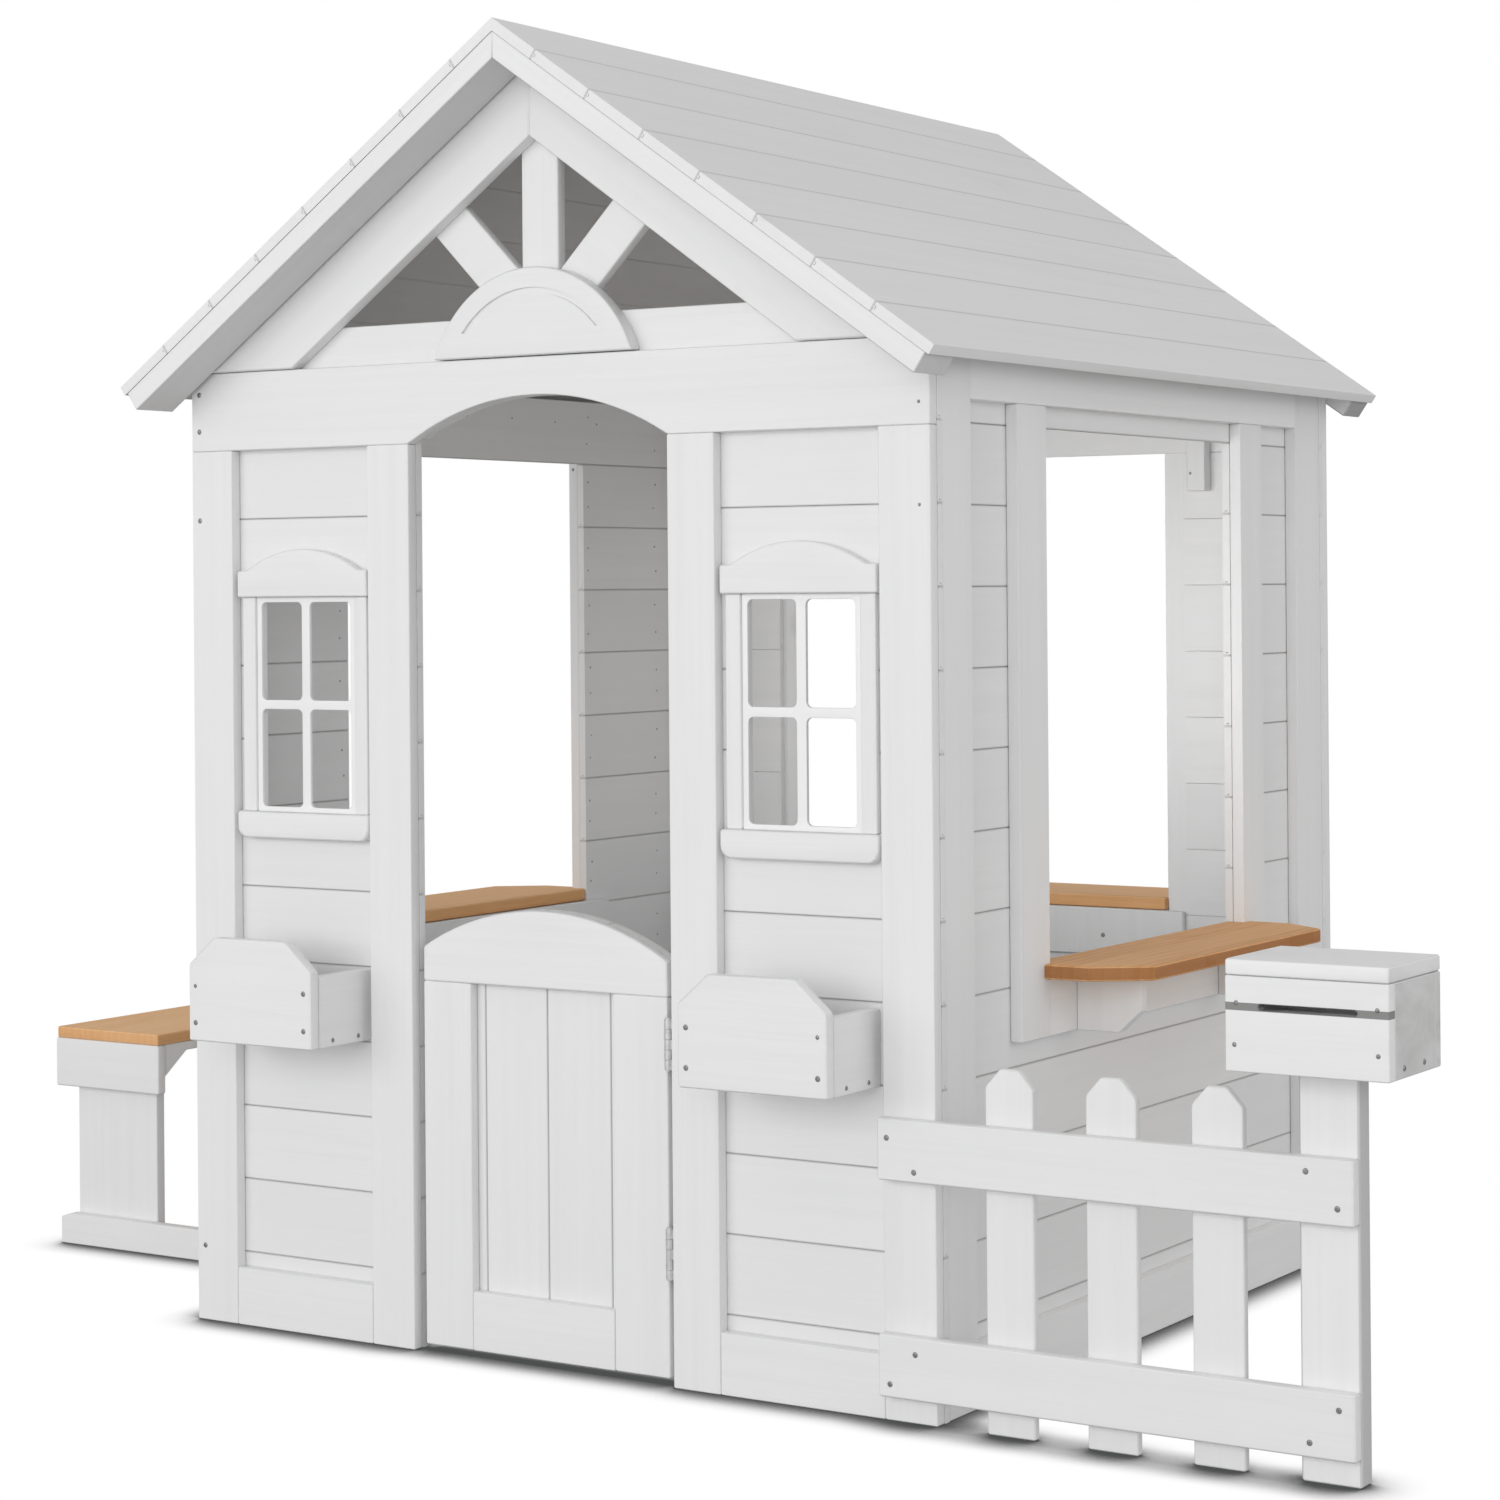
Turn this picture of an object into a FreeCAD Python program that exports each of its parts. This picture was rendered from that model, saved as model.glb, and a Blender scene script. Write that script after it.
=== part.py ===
import FreeCAD, Part
import os
from math import atan, cos, sin, sqrt
from FreeCAD import Vector as V

os.makedirs("parts", exist_ok=True)

# Timber playhouse: panelled walls, half door, gabled roof, bench, picket fence and letter box.
# Working coordinates: X across the house from its centre plane, Y back from the front face,
# Z up from the ground. Everything is shifted at the end so that the origin is the middle of
# the whole object's footprint, on the ground.

# ---------------------------------------------------------------- driving dimensions (mm)
FT = 14.0            # framing timber thickness
BT = 9.0             # tongue-and-groove board thickness
WT = FT + BT         # wall thickness
PITCH = 80.0         # board cover width
JOINT0 = 77.4        # lowest board joint above the ground
HALF_W = 469.0       # half width of the house
DEPTH = 940.0        # front face to back face
WALL_H = 1037.0      # top of the walls
HEAD_Z = 952.0       # underside of the front header at the stiles
KICK_H = 62.0        # kick board height
STILE_IN = 411.0     # inner edge of the outer front stiles
DOOR_HALF = 165.0    # half width of the doorway
STILE2 = 221.5       # outer edge of the stiles beside the doorway
ARCH_R, ARCH_TOP = 323.0, 997.6
# windows in the front wall
WIN_C = 316.0
WIN_Z0, WIN_Z1 = 559.5, 792.0
WIN_HALF, TRIM_HALF = 69.0, 87.0
# side and back openings
OPEN_Z0, OPEN_Z1 = 397.4, 957.4
SIDE_Y0, SIDE_Y1 = 234.5, 697.0
JAMB_W = 60.5
BACK_X = 262.0
SILL_Z0, SHELF_Z0, SHELF_Z1 = 343.0, 402.0, 417.0
# door
DOOR_X, DOOR_Y, DOOR_FT = 155.7, 7.3, 12.6
DOOR_Z0, DOOR_RAIL_Z, DOOR_R, DOOR_TOP = 6.3, 388.0, 300.0, 467.5
HINGE_X, HINGE_Y, BARREL_R, PIN_R, LEAF_T = 160.35, 2.0, 3.95, 1.7, 2.0
HINGE_Z = ((107.4, 158.4), (317.0, 368.0))
# roof
SLOPE = 0.690
RIDGE_Z = 1375.2
ROOF_T, BATTEN_T = 11.0, 23.0
ROOF_Y0, ROOF_Y1 = -65.0, 988.6
ROOF_S = (0.0, 66.0, 146.0, 226.0, 306.0, 386.0, 466.0, 546.0, 622.3)
# gable
GAB_Y = 13.0
RAKE_Y0 = -4.5
# planters
PL_HALF, PL_Y0 = 85.0, -85.0
PL_Z0 = {-1: 320.0, 1: 316.0}
# fence and letter box
FENCE_X1, POST_X0, POST_Z = 900.0, 842.0, 367.0
BOX_X0, BOX_X1, BOX_Y0, BOX_Y1 = 794.0, 949.0, -49.0, 70.0
BOX_Z1, LID_Z1 = 452.0, 466.7
LID_HINGE_Y, LID_HINGE_Z, LID_BARREL_R, LID_PIN_R = 73.5, 452.0, 3.0, 1.2
# bench
BN_X0, BN_X1, BN_Y0, BN_Y1 = -918.0, -748.0, 235.0, 705.0
BN_SEAT_Z0, BN_SEAT_Z1 = 252.0, 265.5
# screw heads
SCREW_R, SCREW_H = 2.9, 0.8

# footprint of the whole object, for the origin
X_MIN, X_MAX = BN_X0, BOX_X1 + SCREW_H
Y_MIN, Y_MAX = PL_Y0 - SCREW_H, 1044.5
OX, OY = (X_MIN + X_MAX) / 2.0, (Y_MIN + Y_MAX) / 2.0

nodes = {}


def add(name, *shapes):
    nodes.setdefault(name, []).extend(shapes)


def box(x0, x1, y0, y1, z0, z1):
    x0, x1 = sorted((x0, x1))
    y0, y1 = sorted((y0, y1))
    return Part.makeBox(x1 - x0, y1 - y0, z1 - z0, V(x0, y0, z0))


def prof(items, plane, a, b):
    """Prism of a closed outline. Items are points, or (through, end) for an arc."""
    def m(p):
        if plane == "xz":
            return V(p[0], a, p[1])
        if plane == "yz":
            return V(a, p[0], p[1])
        return V(p[0], p[1], a)
    edges = []
    cur = items[0]
    for it in list(items[1:]) + [items[0]]:
        if isinstance(it[0], (tuple, list)):
            mid, end = it
            edges.append(Part.Arc(m(cur), m(mid), m(end)).toShape())
            cur = end
        else:
            if abs(it[0] - cur[0]) + abs(it[1] - cur[1]) > 1e-9:
                edges.append(Part.LineSegment(m(cur), m(it)).toShape())
            cur = it
    face = Part.Face(Part.Wire(edges))
    d = b - a
    v = {"xz": V(0, d, 0), "yz": V(d, 0, 0), "xy": V(0, 0, d)}[plane]
    s = face.extrude(v)
    return s.removeSplitter()


def cyl_y(x, z, r, y0, y1):
    return Part.makeCylinder(r, y1 - y0, V(x, y0, z), V(0, 1, 0))


def cyl_x(y, z, r, x0, x1):
    return Part.makeCylinder(r, x1 - x0, V(x0, y, z), V(1, 0, 0))


def mirror_x(s):
    return s.mirror(V(0, 0, 0), V(1, 0, 0))


def mirror_y(s, yc):
    return s.mirror(V(0, yc, 0), V(0, 1, 0))


def both(s):
    return [s, mirror_x(s)]


def joints():
    z, out = JOINT0, [0.0]
    while z < WALL_H - 1:
        out.append(z)
        z += PITCH
    out.append(WALL_H)
    return out


ROWS = list(zip(joints()[:-1], joints()[1:]))


def tg(a, b, T, first=False, last=False, c=0.7, g=0.15):
    """Outline (u, t) of a tongue-and-groove board between joints a and b: t = 0 is its show face."""
    t1, t2 = 0.367 * T, 0.633 * T
    a0, b0 = a + (0 if first else g), b - (0 if last else g)
    p = [(a0 + c, 0), (b0 - c, 0), (b0, c)]
    if not last:
        p += [(b0, t1), (b0 + 3.0, t1), (b0 + 3.0, t2), (b0, t2)]
    p += [(b0, T - 0.5), (b0 - 0.5, T), (a0 + 0.5, T), (a0, T - 0.5)]
    if not first:
        p += [(a0, t2 + 0.2), (a0 + 3.4, t2 + 0.2), (a0 + 3.4, t1 - 0.2), (a0, t1 - 0.2)]
    p += [(a0, c)]
    return p


def lay_x(x0, x1, yshow, ysgn, z0, z1, **k):
    """Board lying along X. Its show face is at yshow, and its back is ysgn * BT further."""
    return prof([(yshow + ysgn * t, u) for u, t in tg(z0, z1, BT, **k)], "yz", min(x0, x1), max(x0, x1))


def lay_y(y0, y1, xshow, xsgn, z0, z1, **k):
    return prof([(xshow + xsgn * t, u) for u, t in tg(z0, z1, BT, **k)], "xz", y0, y1)

# ---------------------------------------------------------------- front wall
for s in (-1, 1):
    add("front_outer_stiles", box(s * STILE_IN, s * HALF_W, 0, FT, 0, HEAD_Z))
    add("front_inner_stiles", box(s * DOOR_HALF, s * STILE2, 0, FT, 0, HEAD_Z))
    add("front_kick_boards", box(s * STILE2, s * STILE_IN, 0, FT, 0, KICK_H))
for s, name in ((-1, "front_boards"), (1, "front_boards")):
    for z0, z1 in ROWS[:-1]:
        if z0 > 550 and z1 < 800:
            add(name, lay_x(s * DOOR_HALF, s * (WIN_C - 66), FT, 1, z0, z1),
                lay_x(s * (WIN_C + 66), s * HALF_W, FT, 1, z0, z1))
        else:
            add(name, lay_x(s * DOOR_HALF, s * HALF_W, FT, 1, z0, z1, first=z0 == 0))
arch = cyl_y(0, ARCH_TOP - ARCH_R, ARCH_R, -5, 40)
add("door_header", box(-HALF_W, HALF_W, 0, FT, HEAD_Z, WALL_H).cut(arch))
add("front_top_board", lay_x(-HALF_W, HALF_W, FT, 1, ROWS[-1][0], WALL_H, last=True).cut(arch))

# small windows: arched lintel, side trims, sill, moulded four-pane insert
LR = 144.3
for s in (-1, 1):
    c = s * WIN_C
    add("window_lintels", prof([(c - 91, 792.0), (c + 91, 792.0), (c + 91, 820.6), (c + 78, 820.6),
                                ((c, 843.5), (c - 78, 820.6)), (c - 91, 820.6)], "xz", 2.0, FT))
    add("window_side_trims", box(c - TRIM_HALF, c - WIN_HALF, 7.0, FT, WIN_Z0, WIN_Z1),
        box(c + WIN_HALF, c + TRIM_HALF, 7.0, FT, WIN_Z0, WIN_Z1))
    q = 12.0 * (1 - sqrt(0.5))
    add("window_sills", prof([(c - 92, 559.5), (c - 92, 543.0), ((c - 92 + q, 531 + q), (c - 80, 531.0)),
                              (c + 80, 531.0), ((c + 92 - q, 531 + q), (c + 92, 543.0)), (c + 92, 559.5)],
                             "xz", 1.0, FT))
    ins = box(c - WIN_HALF, c + WIN_HALF, 10.0, 13.4, WIN_Z0, WIN_Z1)
    r, k = 6.0, 6.0 * (1 - sqrt(0.5))
    for xa, xb in ((c - 62.3, c - 5.6), (c + 5.6, c + 62.3)):
        for za, zb in ((565.0, 670.5), (680.5, 786.3)):
            ins = ins.cut(prof([(xa + r, za), (xb - r, za), ((xb - k, za + k), (xb, za + r)), (xb, zb - r),
                                ((xb - k, zb - k), (xb - r, zb)), (xa + r, zb), ((xa + k, zb - k), (xa, zb - r)),
                                (xa, za + r), ((xa + k, za + k), (xa + r, za))], "xz", 5.0, 25.0))
    ins = ins.removeSplitter()
    ins = ins.makeChamfer(0.5, [e for e in ins.Edges if all(abs(w.Point.y - 10.0) < 0.01 for w in e.Vertexes)])
    collar = box(c - 65.6, c + 65.6, 13.0, 20.0, WIN_Z0 + 2.5, WIN_Z1 - 2.5).cut(
        box(c - 63.4, c + 63.4, 12.0, 21.0, WIN_Z0 + 4.7, WIN_Z1 - 4.7))
    add("window_inserts", ins.fuse(collar).removeSplitter())

# ---------------------------------------------------------------- front gable
UND = RIDGE_Z - ROOF_T / cos(atan(SLOPE))       # height of the roof boards' underside at the ridge


def rake(y0, y1, s):
    p = [(0, UND), (0, 1262.6), (s * 321.6, 1037.5), (s * 465.0, 1037.5), (s * 465.0, UND - SLOPE * 465.0)]
    return prof(p, "xz", y0, y1)


add("gable_rakes", rake(RAKE_Y0, GAB_Y, 1), rake(RAKE_Y0, GAB_Y, -1))
add("gable_tie_board", prof([(-430, 1037.0), (430, 1037.0), (395, 1080.0), (-395, 1080.0)],
                            "xz", GAB_Y, GAB_Y + FT))
CSH = 23.5
add("gable_centre_spoke", prof([(-CSH, 1080.0), (CSH, 1080.0), (CSH, UND - SLOPE * CSH - 1.0),
                                (0, UND - 1.0), (-CSH, UND - SLOPE * CSH - 1.0)], "xz", GAB_Y, GAB_Y + FT))
diag = prof([(CSH, 1080.0), (47.3, 1080.0), (172.0, 1204.7), (130.0, 1230.8), (CSH, 1124.3)],
            "xz", GAB_Y, GAB_Y + FT)
for d in both(diag):
    add("gable_diagonal_spokes", d)
PR, PZ = 133.2, 995.3
plq = cyl_y(0, PZ, PR, -5.0, GAB_Y).common(
    box(-200, 200, -10, 20, 1038.0, 1200))
groove = cyl_y(0, PZ, 112.3, -6, -2).cut(cyl_y(0, PZ, 106.9, -7, 0)).common(box(-200, 200, -7, 0, 1064.0, 1200))
plq = plq.makeChamfer(2.0, plq.Edges)
add("gable_plaque", plq.cut(groove))

# ---------------------------------------------------------------- side walls
YM = (SIDE_Y0 + SIDE_Y1) / 2.0


def side_wall(s, tag):
    xo, xf, xb = s * HALF_W, s * (HALF_W - FT), s * (HALF_W - WT)
    add(tag + "_uprights",
        box(xo, xf, WT, 80.0, 0, WALL_H), box(xo, xf, 849.0, DEPTH - WT, 0, WALL_H),
        box(xo, xf, SIDE_Y0 - JAMB_W, SIDE_Y0, SILL_Z0, 979.0),
        box(xo, xf, SIDE_Y1, SIDE_Y1 + 57.0, SILL_Z0, 979.0))
    add(tag + "_rails",
        box(xo, xf, 80.0, 849.0, 979.0, WALL_H), box(xo, xf, SIDE_Y0, SIDE_Y1, SILL_Z0, SHELF_Z0),
        box(xo, xf, 80.0, 849.0, 0, KICK_H))
    for z0, z1 in ROWS:
        if z0 > 390 and z1 < 960:
            add(tag + "_boards", lay_y(WT, SIDE_Y0, xf, -s, z0, z1), lay_y(SIDE_Y1, DEPTH - WT, xf, -s, z0, z1))
        else:
            add(tag + "_boards", lay_y(WT, DEPTH - WT, xf, -s, z0, z1, first=z0 == 0, last=z1 == WALL_H))
    # ledger under the shelf, on the inner face of the boards
    xi = s * (HALF_W - WT - BT)
    add(tag + "_shelf_ledger", box(xb, xi, SIDE_Y0 - 38.0, SIDE_Y1 + 38.0, 345.0, SHELF_Z0))
    # serving shelf: inner tongue between the jambs, outer part with clipped corners
    sx = s * 573.5
    out = prof([(s * 448.0, SIDE_Y0), (xo, SIDE_Y0), (xo, 221.0), (s * 518.5, 221.0), (sx, 261.0),
                (sx, 671.0), (s * 518.5, 711.0), (xo, 711.0), (xo, SIDE_Y1), (s * 448.0, SIDE_Y1)],
               "xy", SHELF_Z0, SHELF_Z1)
    add(tag + "_shelf", out)
    brk = prof([(xo, SILL_Z0), (s * 517.0, SILL_Z0), (s * 542.0, SILL_Z0 + 23.0), (s * 542.0, SHELF_Z0),
                (xo, SHELF_Z0)], "xz", 290.0, 305.0)
    add("shelf_brackets", brk, mirror_y(brk, YM))


side_wall(1, "right_wall")
side_wall(-1, "left_wall")

# ---------------------------------------------------------------- back wall
yo, yf, yb = DEPTH, DEPTH - FT, DEPTH - WT
for s in (-1, 1):
    add("back_wall_uprights",
        box(s * STILE_IN, s * HALF_W, yf, yo, 0, WALL_H),
        box(s * BACK_X, s * (BACK_X + JAMB_W), yf, yo, SILL_Z0, 979.0))
add("back_wall_rails", box(-STILE_IN, STILE_IN, yf, yo, 979.0, WALL_H),
    box(-BACK_X, BACK_X, yf, yo, SILL_Z0, SHELF_Z0), box(-STILE_IN, STILE_IN, yf, yo, 0, KICK_H))
for z0, z1 in ROWS:
    if z0 > 390 and z1 < 960:
        add("back_wall_boards", lay_x(-HALF_W, -BACK_X - 29.5, yf, -1, z0, z1),
            lay_x(BACK_X + 29.5, HALF_W, yf, -1, z0, z1))
    else:
        add("back_wall_boards", lay_x(-HALF_W, HALF_W, yf, -1, z0, z1, first=z0 == 0, last=z1 == WALL_H))
add("back_wall_ledger_and_blocks",
    *both(box(304.0, 328.0, yb - 17.0, yb, 910.5, 1000.0)),
    box(-290.0, 290.0, yb - BT, yb, 345.0, SHELF_Z0))
add("back_wall_shelf", prof([(-BACK_X, 918.0), (BACK_X, 918.0), (BACK_X, yo), (281.0, yo), (281.0, 989.5),
                             (241.0, Y_MAX), (-241.0, Y_MAX), (-281.0, 989.5), (-281.0, yo), (-BACK_X, yo)],
                            "xy", SHELF_Z0, SHELF_Z1))
bbr = prof([(yo, SILL_Z0), (988.0, SILL_Z0), (1013.0, SILL_Z0 + 23.0), (1013.0, SHELF_Z0), (yo, SHELF_Z0)],
           "yz", 182.5, 197.5)
add("shelf_brackets", *both(bbr))
add("back_gable_rakes", rake(yf, yo, 1), rake(yf, yo, -1))
for z0, z1 in ((1037.0, 1117.4), (1117.4, 1197.4), (1197.4, 1277.4), (1277.4, UND - 8.0)):
    x0 = min((UND - 1.0 - z0) / SLOPE, 465.0)
    x1 = (UND - 1.0 - z1 - 3.0) / SLOPE
    trim = prof([(-x0, z0), (x0, z0), (x0 - 3.0 / SLOPE, z0 + 3.0), (x1, z1 + 3.0), (-x1, z1 + 3.0),
                 (-x0 + 3.0 / SLOPE, z0 + 3.0)], "xz", yb - 5, yf + 5)
    add("back_gable_boards", lay_x(-470.0, 470.0, yf, -1, z0, z1, first=z0 == 1037.0, last=z1 > 1300).common(trim))

# ---------------------------------------------------------------- roof
AL = atan(SLOPE)
NX, NZ = sin(AL), cos(AL)


def rp(s, off, sd):
    """Point on a slope: distance s down from the ridge, off below the top surface."""
    return (sd * (s * cos(AL) - off * NX), RIDGE_Z - s * sin(AL) - off * NZ)


for sd, name in ((1, "roof_right_boards"), (-1, "roof_left_boards")):
    for s0, s1 in zip(ROOF_S[:-1], ROOF_S[1:]):
        if s0 == 0.0:
            q = tg(s0, s1, ROOF_T, True, False, 0.4, 0.1)
            p = [(0, RIDGE_Z)] + [rp(u, t, sd) for u, t in q if u > 1.0] + [(0, RIDGE_Z - ROOF_T / NZ)]
        else:
            p = [rp(u, t, sd) for u, t in tg(s0, s1, ROOF_T, False, s1 == ROOF_S[-1], 0.4, 0.1)]
        add(name, prof(p, "xz", ROOF_Y0, ROOF_Y1))
for sd in (1, -1):
    se = ROOF_S[-1] - 4.0
    p = [(0, RIDGE_Z - ROOF_T / NZ), rp(se, ROOF_T, sd), rp(se, ROOF_T + BATTEN_T, sd),
         (0, RIDGE_Z - (ROOF_T + BATTEN_T) / NZ)]
    add("roof_battens", prof(p, "xz", ROOF_Y0, ROOF_Y0 + 57.0))
    add("roof_battens", prof(p, "xz", 942.0, ROOF_Y1))

# ---------------------------------------------------------------- planters
for s in (-1, 1):
    c = s * WIN_C
    z0 = PL_Z0[s]
    add("planter_front_boards", prof([(c - 85, z0), (c + 85, z0), (c + 85, z0 + 81.0), (c + 50, z0 + 111.0),
                                      (c - 50, z0 + 111.0), (c - 85, z0 + 81.0)], "xz", PL_Y0, PL_Y0 + FT))
    add("planter_side_boards", box(c - 85, c - 71, PL_Y0 + FT, FT, z0, z0 + 75.5),
        box(c + 71, c + 85, PL_Y0 + FT, FT, z0, z0 + 75.5))
    add("planter_floors", box(c - 71, c + 71, PL_Y0 + FT, FT, z0, z0 + FT))

# ---------------------------------------------------------------- half door
dy0, dy1 = DOOR_Y, DOOR_Y + DOOR_FT
dome = cyl_y(0, DOOR_TOP - DOOR_R, DOOR_R, dy0 - 5, dy1 + 20)
add("door_stiles", box(-DOOR_X, -93.0, dy0, dy1, DOOR_Z0, DOOR_RAIL_Z),
    box(88.0, DOOR_X, dy0, dy1, DOOR_Z0, DOOR_RAIL_Z))
add("door_bottom_rail", box(-93.0, 88.0, dy0, dy1, DOOR_Z0, 67.5))
add("door_top_rail", box(-DOOR_X, DOOR_X, dy0, dy1, DOOR_RAIL_Z, DOOR_TOP + 1).common(dome))
for x0, x1 in ((-DOOR_X, -83.0), (-83.0, -3.0), (-3.0, 77.0), (77.0, DOOR_X)):
    o = [(u, dy1 + t) for u, t in tg(x0, x1, BT, x0 == -DOOR_X, x1 == DOOR_X, 1.0, 0.15)]
    add("door_boards", prof(o, "xy", DOOR_Z0, DOOR_TOP + 1).common(dome))

# butt hinges: five knuckles each, three on the frame leaf and two on the door leaf
for z0, z1 in HINGE_Z:
    kn = (z1 - z0) / 5.0
    hx, hy = HINGE_X, HINGE_Y
    door_leaf = box(DOOR_X, DOOR_X + LEAF_T, hy + 4.3, dy1 + BT - 2.0, z0, z1)
    frame_leaf = box(DOOR_HALF - LEAF_T, DOOR_HALF, hy + 4.3, WT - 1.0, z0, z1)
    for i in range(5):
        a, b = z0 + kn * i + 0.15, z0 + kn * (i + 1) - 0.15
        k = Part.makeCylinder(BARREL_R, b - a, V(hx, hy, a), V(0, 0, 1))
        if i % 2:
            k = k.fuse(box(DOOR_X, DOOR_X + LEAF_T, hy - 0.8, hy + 4.6, a, b))
            door_leaf = door_leaf.fuse(k)
        else:
            k = k.fuse(box(DOOR_HALF - LEAF_T, DOOR_HALF, hy - 0.8, hy + 4.6, a, b))
            frame_leaf = frame_leaf.fuse(k)
    bore = Part.makeCylinder(PIN_R + 0.05, z1 - z0 + 10, V(hx, hy, z0 - 5), V(0, 0, 1))
    add("door_hinge_leaves", door_leaf.cut(bore).removeSplitter())
    add("fixed_hinge_leaves", frame_leaf.cut(bore).removeSplitter())
    pin = Part.makeCylinder(PIN_R, z1 - z0 - 0.3, V(hx, hy, z0 + 0.15), V(0, 0, 1))
    pin = pin.fuse(Part.makeCylinder(2.9, 1.2, V(hx, hy, z1 - 0.15), V(0, 0, 1)))
    pin = pin.fuse(Part.makeCylinder(2.9, 1.2, V(hx, hy, z0 + 0.15 - 1.2), V(0, 0, 1)))
    add("hinge_pins", pin.removeSplitter())

# ---------------------------------------------------------------- picket fence
add("fence_rails", box(412.0, FENCE_X1, -FT, 0, 232.0, 291.0), box(412.0, FENCE_X1, -FT, 0, 25.4, 85.2))
for x0, x1 in ((522.8, 574.0), (629.0, 681.0), (736.6, 788.0)):
    add("fence_pickets", prof([(x0, 0), (x1, 0), (x1, 326.5), (x1 - 16.0, 344.5), (x0 + 16.0, 344.5),
                               (x0, 326.5)], "xz", 0, 9.5))
add("fence_post", box(POST_X0, FENCE_X1, 0, 24.0, 0, POST_Z))

# ---------------------------------------------------------------- letter box
sl = 5.3 / 2
plate = box(BOX_X0, BOX_X1, BOX_Y0, BOX_Y0 + FT, POST_Z, BOX_Z1)
slot = prof([(826.0 + sl, 425.0 - sl), (919.0 - sl, 425.0 - sl), ((919.0, 425.0), (919.0 - sl, 425.0 + sl)),
             (826.0 + sl, 425.0 + sl), ((826.0, 425.0), (826.0 + sl, 425.0 - sl))], "xz", -60.0, -30.0)
add("letterbox_front", plate.cut(slot))
add("letterbox_walls", box(BOX_X0, BOX_X0 + FT, BOX_Y0 + FT, BOX_Y1 - FT, POST_Z, BOX_Z1),
    box(BOX_X1 - FT, BOX_X1, BOX_Y0 + FT, BOX_Y1 - FT, POST_Z, BOX_Z1))
add("letterbox_walls", box(BOX_X0, BOX_X1, BOX_Y1 - FT, BOX_Y1, POST_Z, BOX_Z1))
add("letterbox_floor", box(BOX_X0 + FT, BOX_X1 - FT, BOX_Y0 + FT, BOX_Y1 - FT, POST_Z, POST_Z + FT))
add("letterbox_lid", box(BOX_X0, BOX_X1, BOX_Y0, BOX_Y1, BOX_Z1 + 0.3, LID_Z1))
for x0, x1 in ((820.0, 850.0), (893.0, 923.0)):
    hy, hz, r = LID_HINGE_Y, LID_HINGE_Z, LID_BARREL_R
    lo = box(x0, x1, BOX_Y1, BOX_Y1 + 1.2, hz - 20.0, hz - 3.2)
    up = box(x0, x1, BOX_Y1, BOX_Y1 + 1.2, hz + 3.2, hz + 14.2)
    kn = (x1 - x0) / 3.0
    for i in range(3):
        a, b = x0 + kn * i + 0.15, x0 + kn * (i + 1) - 0.15
        k = cyl_x(hy, hz, r, a, b)
        if i == 1:
            up = up.fuse(k.fuse(box(a, b, BOX_Y1, BOX_Y1 + 1.8, hz + 0.6, hz + 4.0)))
        else:
            lo = lo.fuse(k.fuse(box(a, b, BOX_Y1, BOX_Y1 + 1.8, hz - 4.0, hz - 0.6)))
    bore = cyl_x(hy, hz, LID_PIN_R + 0.05, x0 - 5, x1 + 5)
    add("fixed_hinge_leaves", lo.cut(bore).removeSplitter())
    add("lid_hinge_lid_leaves", up.cut(bore).removeSplitter())
    pin = cyl_x(hy, hz, LID_PIN_R, x0 + 0.15, x1 - 0.15)
    pin = pin.fuse(cyl_x(hy, hz, 2.2, x1 - 0.15, x1 + 0.85)).fuse(cyl_x(hy, hz, 2.2, x0 - 0.85, x0 + 0.15))
    add("hinge_pins", pin.removeSplitter())

# ---------------------------------------------------------------- bench
BM = (BN_Y0 + BN_Y1) / 2.0
add("bench_seat", box(-915.0, BN_X1, BN_Y0, BN_Y1, BN_SEAT_Z0, BN_SEAT_Z1))
apron = box(BN_X0, BN_X1, BN_Y0, BN_Y0 + FT, 193.0, BN_SEAT_Z0)
leg = box(-894.0, -764.0, BN_Y0 + FT, BN_Y0 + 2 * FT, 0, BN_SEAT_Z0)
foot = prof([(-911.0, 0), (-HALF_W, 0), (-HALF_W, 37.0), (-896.0, 37.0), (-911.0, 32.0)], "xz", BN_Y0, BN_Y0 + FT)
ya = BN_Y0 + FT
brk = prof([(ya, 212.0), (ya + 39.0, 241.0), (ya + 58.0, 241.0), (ya + 58.0, BN_SEAT_Z0), (ya, BN_SEAT_Z0)],
           "yz", -764.0, -750.0)
for nm, sh in (("bench_aprons", apron), ("bench_legs", leg), ("bench_foot_rails", foot), ("shelf_brackets", brk)):
    add(nm, sh, mirror_y(sh, BM))

# ---------------------------------------------------------------- screw heads
def screw(p, d, r=SCREW_R):
    """Low domed head with a cross recess, standing on a face at p, pointing along d."""
    p, d, k = V(*p), V(*d), r / 3.2
    s = Part.makeCone(r, r - 0.7, SCREW_H, p, d)
    u = V(0, 0, 1) if abs(d.z) < 0.5 else V(1, 0, 0)
    w = d.cross(u)
    for a, b in ((u, w), (w, u)):
        c = p + d * (SCREW_H - 0.45)
        m, n = a * 1.7 * k, b * 0.35 * k
        bx = Part.makePolygon([c + m + n, c + m - n, c - m - n, c - m + n, c + m + n])
        s = s.cut(Part.Face(bx).extrude(d * 2.0))
    return s


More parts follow.
